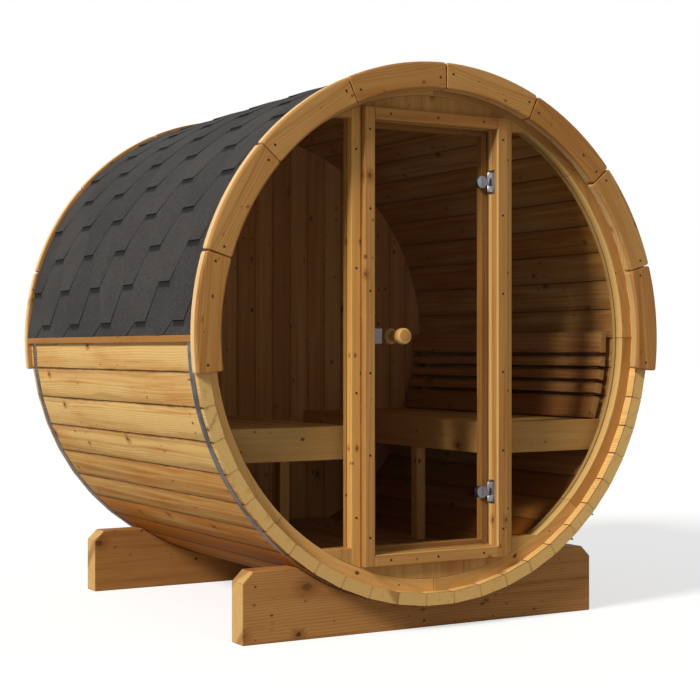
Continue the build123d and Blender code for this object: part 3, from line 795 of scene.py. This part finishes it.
bracket_wood = spruce("bracket_wood", straight("zxy", 92.0), bench_painted_light_pale, bench_painted_light_deep, 0.3)
dress("backrest_brackets", bracket_wood, eased=0.003)

# Arch boards
# Eight flat spruce boards sawn to the curve cover the stave ends over the upper half, front and rear.
# Each is screwed on at both ends, and its corners are rounded, so that every joint shows as a notch.
arch = {
    "Boards": 8,
    "Inner radius": 0.887,
    "Outer radius": 0.984,
    "Thickness": 0.042,
    "First angle": math.radians(-7.6),
    "Board angle": math.radians(24.4),
    "Joint gap": 0.0032,
    "Axis height": axis_height,
    "Front middle": -0.853,
    "Seed": 4,
}
size = new_tree("arch_of_boards", arch)
width = size["Outer radius"] - size["Inner radius"]
middle = size["Inner radius"] + width / 2.0
gap_angle = size["Joint gap"] / middle
sweep = size["Board angle"] - gap_angle
bow = {"Resolution": 13, "Radius": middle, "Start Angle": -0.5 * sweep, "Sweep Angle": sweep}
path = middle.node("GeometryNodeCurveArc", {}, bow)
cut = {"Width": width, "Height": size["Thickness"]}
section = middle.node("GeometryNodeCurvePrimitiveQuadrilateral", {}, cut)
swept = {"Curve": path, "Profile Curve": section, "Fill Caps": True}
board = path.node("GeometryNodeCurveToMesh", {}, swept)
across, along, through = board.node("GeometryNodeInputPosition", {}, {}).parts()
board = keep(board, "board_place", "FLOAT_VECTOR", board.join(along, across - middle, through))
board = board.node("GeometryNodeTransform", {}, {"Geometry": board, "Rotation": (math.pi / 2, 0.0, 0.0)})
number = board.node("GeometryNodeInputIndex", {}, {})
rear = number > size["Boards"] - 0.5
rank = number - rear * size["Boards"]
angle = size["First angle"] + (rank + 0.5) * size["Board angle"]
spot = angle.join(0.0, size["Front middle"] * (1.0 - 2.0 * rear), size["Axis height"])
places = spot.node("GeometryNodePoints", {}, {"Count": 2.0 * size["Boards"], "Position": spot})
turn = angle.join(0.0, -1.0 * angle, 0.0)
laid = {"Points": places, "Instance": board, "Rotation": turn}
arches = places.node("GeometryNodeInstanceOnPoints", {}, laid)
luck = arches.node("FunctionNodeRandomValue", {}, {2: 0.0, 3: 1.0, "ID": number, "Seed": size["Seed"]}, 1)
arches = keep(arches, "board_shade", "FLOAT", luck, "INSTANCE")


def arch_edge_and_highlight(start):
    """Sawn outer and inner edges of the arch boards, back from the front arris, near white: pale wood with a
    painted highlight.
    """
    place = start.node("ShaderNodeAttribute", {"attribute_name": "board_place"}, {}, "Vector")
    middle_radius = 0.9355
    inner_share = 0.5
    along, across, through = place.parts()
    radius = ((across + middle_radius).sum("POWER", 2.0) + along * along).sum("SQRT")
    outer_edge = radius.ramp(0.9800, 0.9825)
    inner_edge = radius.ramp(0.8905, 0.8885)
    return (outer_edge + inner_share * inner_edge) * through.ramp(0.012, 0.006)


arch_pale = (0.56, 0.295, 0.092)
arch_deep = (0.40, 0.172, 0.042)
# The near white edge colour is pale wood and a painted highlight.
arch_edge_and_highlight_pale = (0.90, 0.65, 0.320)
arch_wood = spruce("arch_board_spruce", stored(), arch_pale, arch_deep, 0.45, arch_edge_and_highlight, sawn_and_highlight_colour=arch_edge_and_highlight_pale)
arch_boards = grow("arch_boards", arches, arch_wood, arch)
rounding_width = 0.010
end_share = 0.40
flank_share = 0.60
back_share = 0.30
shown_face = 0.873
shell = bmesh.new()
shell.from_mesh(arch_boards.data)
corners = []
for edge in shell.edges:
    rod = edge.verts[1].co - edge.verts[0].co
    if abs(rod.y) > 0.99 * rod.length and edge.calc_face_angle() > 1.0:
        corners.append(edge)
rounded = {"offset": rounding_width, "segments": 4, "profile": 0.5, "affect": "EDGES", "material": -1}
bmesh.ops.bevel(shell, geom=corners, **rounded)
arris_share = shell.edges.layers.float.new("bevel_weight_edge")
for edge in shell.edges:
    if edge.calc_face_angle() > 0.7:
        spot = (edge.verts[0].co + edge.verts[1].co) / 2
        outward = Vector((spot.x, 0.0, spot.z - axis_height)).normalized()
        flank = max(abs(side.normal.dot(outward)) for side in edge.link_faces)
        front_share = end_share + flank_share * flank ** 2
        edge[arris_share] = front_share if abs(spot.y) > shown_face else back_share
shell.to_mesh(arch_boards.data)
shell.free()
rounding = arch_boards.modifiers.new("eased", "BEVEL")
rounding.width = rounding_width
rounding.segments = 3
rounding.limit_method = "WEIGHT"
rounding.harden_normals = True
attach(arch_boards, "cabin")
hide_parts("front_arch_boards", "rear_arch_boards")

# Screws
# Dull brown steel screws with a socket head, driven until the head sits on the wood.
# They hold the arch boards at both ends, and the door frame and posts at intervals.
screw = {
    "Head radius": 0.0046,
    "Head height": 0.0016,
    "Sunk": 0.0004,
    "Socket share": 0.5,
    "Socket depth": 0.0010,
}
arch_face = 0.874
frame_face = -0.818
post_face = -0.790
jamb_middle = 0.286
post_middle = 0.3268
from_end = math.radians(1.7)
screw_radius = 0.928
stagger = 0.016
screw_places = []
for y in (-arch_face, arch_face):
    for number in range(arch["Boards"]):
        board_start = arch["First angle"] + number * arch["Board angle"]
        board_end = board_start + arch["Board angle"]
        for angle in (board_start + from_end, board_end - from_end):
            radius = screw_radius + stagger * (number % 2)
            screw_places.append((radius * math.cos(angle), y, axis_height + radius * math.sin(angle)))
for x in (-jamb_middle, jamb_middle):
    for z in (0.350, 0.640, 0.930, 1.220, 1.510, 1.790):
        screw_places.append((x, frame_face, z))
for x in (-post_middle, post_middle):
    for z in (0.420, 0.860, 1.300, 1.720):
        screw_places.append((x, post_face, z))
for x in (-0.200, 0.0, 0.200):
    for z in (0.266, 1.850):
        screw_places.append((x, frame_face, z))
size = new_tree("screw_heads", screw)
face = size["Geometry"].node("GeometryNodeInputPosition", {}, {}).parts()[1]
cone = {
    "Vertices": 12,
    "Radius Top": 0.82 * size["Head radius"],
    "Radius Bottom": size["Head radius"],
    "Depth": size["Head height"],
}
head = face.node("GeometryNodeMeshCone", {}, cone)
rim = {"Mesh": head, "Selection": head.out("Top"), "Offset Scale": 0.0}
rim = head.node("GeometryNodeExtrudeMesh", {}, rim)
socket = {"Geometry": rim, "Selection": rim.out("Top"), "Scale": size["Socket share"]}
socket = rim.node("GeometryNodeScaleElements", {}, socket)
hollow = {"Mesh": socket, "Selection": rim.out("Top"), "Offset Scale": -1.0 * size["Socket depth"]}
hollow = socket.node("GeometryNodeExtrudeMesh", {}, hollow)
sunk = {"Geometry": hollow, "Translation": face.join(0.0, 0.0, -1.0 * size["Sunk"])}
head = hollow.node("GeometryNodeTransform", {}, sunk)
turn = face.join(face.sum("SIGN") * (math.pi / -2), 0.0, 0.0)
heads = {"Points": size["Geometry"], "Instance": head, "Rotation": turn}
heads = head.node("GeometryNodeInstanceOnPoints", {}, heads)
screw_brown = (0.060, 0.036, 0.022)
screw_steel = steel("screw_steel", screw_brown, 0.45, (90.0, 90.0, 90.0))
screws = grow("screws", heads, screw_steel, screw, screw_places)
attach(screws, "cabin")

# Eave battens
# A narrow planed spruce batten along each side, darker than the staves.
# It is nailed to them and carries the lower edge of the roof.
batten_pale = (0.39, 0.175, 0.040)
batten_deep = (0.28, 0.110, 0.024)
batten_lie = straight("yzx", 97.0)
batten_wood = spruce("batten_spruce", batten_lie, batten_pale, batten_deep, 0.4)
dress("eave_battens", batten_wood, eased=0.002)

# Shingles
# Bitumen felt strips with charcoal mineral granules, cut to hexagonal tabs and nailed on in courses from the
# eave up. A darker band is pressed into the felt at the top of every cut-out.
course_angle = math.radians(8.164)
first_row = math.radians(3.15)
tab_pitch = 0.333
first_tab = -0.716
roof = {
    "Courses": 12,
    "Roof radius": 0.9684,
    "Axis height": axis_height,
    "Course angle": course_angle,
    "Lowest row": first_row - 2 * course_angle,
    "Eave angle": math.radians(0.195),
    "Top angle": math.radians(88.5),
    "Half length": 0.8316,
    "Tab pitch": tab_pitch,
    "Tab flat": 0.097,
    "Tab slant": 0.0695,
    "First tab": first_tab,
    "Butt": 0.0068,
    "Head": 0.0010,
    "Felt": 0.0030,
    "Head felt": 0.0008,
    "Rows covered": 2.15,
    "Eave lift": 0.0095,
    "Lifted angle": math.radians(5),
    "Seed": 6,
}
size = new_tree("shingle_courses", roof)
pitch = size["Tab pitch"]
columns = 29
grid = {"Size": (1.0, 1.0, 1.0), "Vertices X": columns, "Vertices Y": 9, "Vertices Z": 2}
strip = pitch.node("GeometryNodeMeshCube", {}, grid)
number = strip.node("GeometryNodeInputIndex", {}, {})
places = number.node("GeometryNodePoints", {}, {"Count": 2.0 * size["Courses"]})
strips = places.node("GeometryNodeInstanceOnPoints", {}, {"Points": places, "Instance": strip})
strips = keep(strips, "course", "FLOAT", (number / 2.0).sum("FLOOR"), "INSTANCE")
strips = keep(strips, "side", "FLOAT", (number % 2.0) * 2.0 - 1.0, "INSTANCE")
strips = strips.node("GeometryNodeRealizeInstances", {}, {"Geometry": strips})
course = strips.node("GeometryNodeInputNamedAttribute", {"data_type": "FLOAT"}, {"Name": "course"})
side = strips.node("GeometryNodeInputNamedAttribute", {"data_type": "FLOAT"}, {"Name": "side"})
u, v, w = strips.node("GeometryNodeInputPosition", {}, {}).parts()
column = ((u + 0.5) * (columns - 1.0)).sum("ROUND")
corner = column % 4.0
tab_middle = size["First tab"] + (course % 2.0) * pitch / 2.0
edge = tab_middle - size["Tab flat"] / 2.0 - pitch + (column / 4.0).sum("FLOOR") * pitch
edge = edge + ((corner > 0.5) + (corner > 2.5)) * size["Tab flat"] + (corner > 1.5) * size["Tab slant"]
edge = edge.sum("MAXIMUM", -1.0 * size["Half length"])
edge = edge.sum("MINIMUM", size["Half length"])
away = (edge - tab_middle).sum("WRAP", pitch / 2.0, pitch / -2.0)
away = away.sum("ABSOLUTE") - size["Tab flat"] / 2.0
rise = away / size["Tab slant"]
rise = rise.sum("MAXIMUM", 0.0).sum("MINIMUM", 1.0)
row = size["Lowest row"] + course * size["Course angle"]
low = row + rise * size["Course angle"]
low = low.sum("MAXIMUM", size["Eave angle"])
high = row + size["Rows covered"] * size["Course angle"]
high = high.sum("MINIMUM", size["Top angle"])
angle = low + (high - low) * (v + 0.5)
share = (angle - row) / (size["Rows covered"] * size["Course angle"])
near_eave = 1.0 - (angle - size["Eave angle"]) / size["Lifted angle"]
lift = size["Eave lift"] * near_eave.sum("MAXIMUM", 0.0)
top = size["Butt"] + (size["Head"] - size["Butt"]) * share
felt = size["Felt"] + (size["Head felt"] - size["Felt"]) * share
radius = size["Roof radius"] + top + lift - (0.5 - w) * felt
felt_rise = radius * angle.sum("SINE") + size["Axis height"]
bent = angle.join(side * radius * angle.sum("COSINE"), edge, felt_rise)
tab = course * 40.0 + side * 700.0 + (column / 4.0 + 0.25).sum("FLOOR")
luck = tab.node("FunctionNodeRandomValue", {}, {2: 0.0, 3: 1.0, "ID": tab, "Seed": size["Seed"]}, 1)
felts = keep(strips, "tab_tone", "FLOAT", luck)
felts = felts.node("GeometryNodeSetPosition", {}, {"Geometry": felts, "Position": bent})
felts = felts.node("GeometryNodeMergeByDistance", {}, {"Geometry": felts, "Distance": 0.00005})


def granules(name, dashes):
    """Charcoal mineral granules that vary from tab to tab, with dark bands where dashes is 1."""
    dark_grit = (0.034, 0.032, 0.0325, 1.0)
    light_grit = (0.072, 0.068, 0.067, 1.0)
    bright_grain = (0.13, 0.12, 0.12, 1.0)
    pressed_band = (0.013, 0.012, 0.013, 1.0)
    material, start = blank(name)
    spot = start.here()
    x, y, z = spot.parts()
    flank = x.sum("ABSOLUTE")
    rise = z - axis_height
    turns = (rise.sum("ARCTAN2", flank) - first_row) / course_angle
    row = turns.sum("FLOOR") + 1.0
    in_row = turns % 1.0
    from_tab = y - first_tab - (row % 2.0) * (tab_pitch / 2)
    from_tab = from_tab.sum("WRAP", tab_pitch / 2, tab_pitch / -2)
    from_tab = from_tab.sum("ABSOLUTE")
    dash = in_row.ramp(0.80, 0.90) * from_tab.ramp(0.054, 0.042) * dashes
    cell = spot.node("ShaderNodeTexVoronoi", {}, {"Vector": spot, "Scale": 420.0})
    grit, sparkle, _ = cell.out("Color").parts()
    cloud = spot.noise((5.0, 5.0, 5.0), 3.0)
    fine = spot.noise((90.0, 90.0, 90.0), 2.0)
    tab = spot.node("ShaderNodeAttribute", {"attribute_name": "tab_tone"}, {}, "Fac")
    mixed = (grit * 0.6 + cloud * 0.6 + fine * 0.5 + tab * 0.24 - 0.52).ramp(0.0, 1.0)
    tone = mixed.blend(dark_grit, light_grit)
    tone = (sparkle.ramp(0.9, 1.0) * 0.5).blend(tone, bright_grain)
    tone = (dash * 0.85).blend(tone, pressed_band)
    height = cell * -1.0 + fine * 0.5
    normal = height.node("ShaderNodeBump", {}, {"Strength": 0.5, "Distance": 0.0012, "Height": height})
    rough = grit * 0.12 + 0.8
    looks = {"Base Color": tone, "Roughness": rough, "Specular IOR Level": 0.08, "Normal": normal}
    surface = normal.node("ShaderNodeBsdfPrincipled", {}, looks)
    surface.node("ShaderNodeOutputMaterial", {}, {"Surface": surface})
    return material


shingles = grow("shingles", felts, granules("charcoal_granules", 1.0), roof)
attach(shingles, "cabin")
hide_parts("shingles_left", "shingles_right")

# Ridge cap
# Short strips of the same felt are bent over the ridge and nailed down.
# Each one laps over the end of the one behind it.
ridge = {
    "Strips": 7,
    "Half angle": math.radians(5.0),
    "Radius": 0.9727,
    "Felt": 0.0032,
    "Lap": 0.060,
    "Tilt": 1.2,
    "Half length": 0.8316,
    "Axis height": axis_height,
}
size = new_tree("ridge_strips", ridge)
grid = {"Size": (1.0, 1.0, 1.0), "Vertices X": 9, "Vertices Y": 5, "Vertices Z": 2}
strip = size["Felt"].node("GeometryNodeMeshCube", {}, grid)
number = strip.node("GeometryNodeInputIndex", {}, {})
places = number.node("GeometryNodePoints", {}, {"Count": size["Strips"]})
strips = places.node("GeometryNodeInstanceOnPoints", {}, {"Points": places, "Instance": strip})
strips = keep(strips, "strip", "FLOAT", number, "INSTANCE")
strips = strips.node("GeometryNodeRealizeInstances", {}, {"Geometry": strips})
rank = strips.node("GeometryNodeInputNamedAttribute", {"data_type": "FLOAT"}, {"Name": "strip"})
u, v, w = strips.node("GeometryNodeInputPosition", {}, {}).parts()
shown = (2.0 * size["Half length"] - size["Lap"]) / size["Strips"]
along = rank * shown - size["Half length"] + (v + 0.5) * (shown + size["Lap"])
angle = math.pi / 2 - u * 2.0 * size["Half angle"]
radius = size["Radius"] + size["Felt"] * (w + 0.5) + (0.5 - v) * size["Felt"] * size["Tilt"]
strip_rise = radius * angle.sum("SINE") + size["Axis height"]
bent = angle.join(radius * angle.sum("COSINE"), along, strip_rise)
caps = strips.node("GeometryNodeSetPosition", {}, {"Geometry": strips, "Position": bent})
ridge_cap = grow("ridge_strips", caps, granules("ridge_granules", 0.0), ridge)
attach(ridge_cap, "cabin")
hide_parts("ridge_cap")

# Floor of the studio, light and camera
# A plain pale floor runs on into a white background. A soft sun from the left lights the barrel.
ground = bpy.data.meshes.new("studio_floor")
reach = 60.0
corners = [(-reach, -reach, 0.0), (reach, -reach, 0.0), (reach, reach, 0.0), (-reach, reach, 0.0)]
ground.from_pydata(corners, [], [(0, 1, 2, 3)])
floor = bpy.data.objects.new("studio_floor", ground)
bpy.context.scene.collection.objects.link(floor)
paper, start = blank("studio_paper")
seen = start.node("ShaderNodeLightPath", {}, {}, "Is Camera Ray")
matt = start.node("ShaderNodeBsdfDiffuse", {}, {"Color": (0.50, 0.50, 0.50, 1.0)})
glow = start.node("ShaderNodeEmission", {}, {"Color": (1.0, 1.0, 1.0, 1.0), "Strength": seen * 0.64})
both = start.node("ShaderNodeAddShader", {}, {0: matt, 1: glow})
both.node("ShaderNodeOutputMaterial", {}, {"Surface": both})
ground.materials.append(paper)

world = bpy.data.worlds.new("studio")
bpy.context.scene.world = world
world.use_nodes = True
world.node_tree.nodes.clear()
start = Wire(world.node_tree)
path = start.node("ShaderNodeLightPath", {}, {}, "Is Camera Ray")
shown = path.sum("MAXIMUM", path.out("Is Glossy Ray"))
shown = shown.sum("MAXIMUM", path.out("Is Transmission Ray"))
fill = 0.30
strength = shown * (1.0 - fill) + fill
sky = start.node("ShaderNodeBackground", {}, {"Color": (1.0, 1.0, 1.0, 1.0), "Strength": strength})
sky.node("ShaderNodeOutputWorld", {}, {"Surface": sky})

sun = bpy.data.lights.new("soft_sun", "SUN")
sun.energy = 3.0
sun.angle = math.radians(12)
sun.color = (1.0, 0.965, 0.90)
lamp = bpy.data.objects.new("soft_sun", sun)
lamp.rotation_euler = (math.radians(57.3), 0.0, math.radians(-72))
bpy.context.scene.collection.objects.link(lamp)

lens = bpy.data.cameras.new("camera")
lens.sensor_width = 36.0
lens.lens = 80.51
lens.shift_x = -0.0066
lens.shift_y = 0.0006
camera = bpy.data.objects.new("camera", lens)
camera.location = (-3.1037, -5.5551, 1.0100)
camera.rotation_euler = (math.radians(90), 0.0, math.radians(-30.17))
bpy.context.scene.collection.objects.link(camera)
bpy.context.scene.camera = camera
bpy.context.scene.view_settings.view_transform = "Standard"
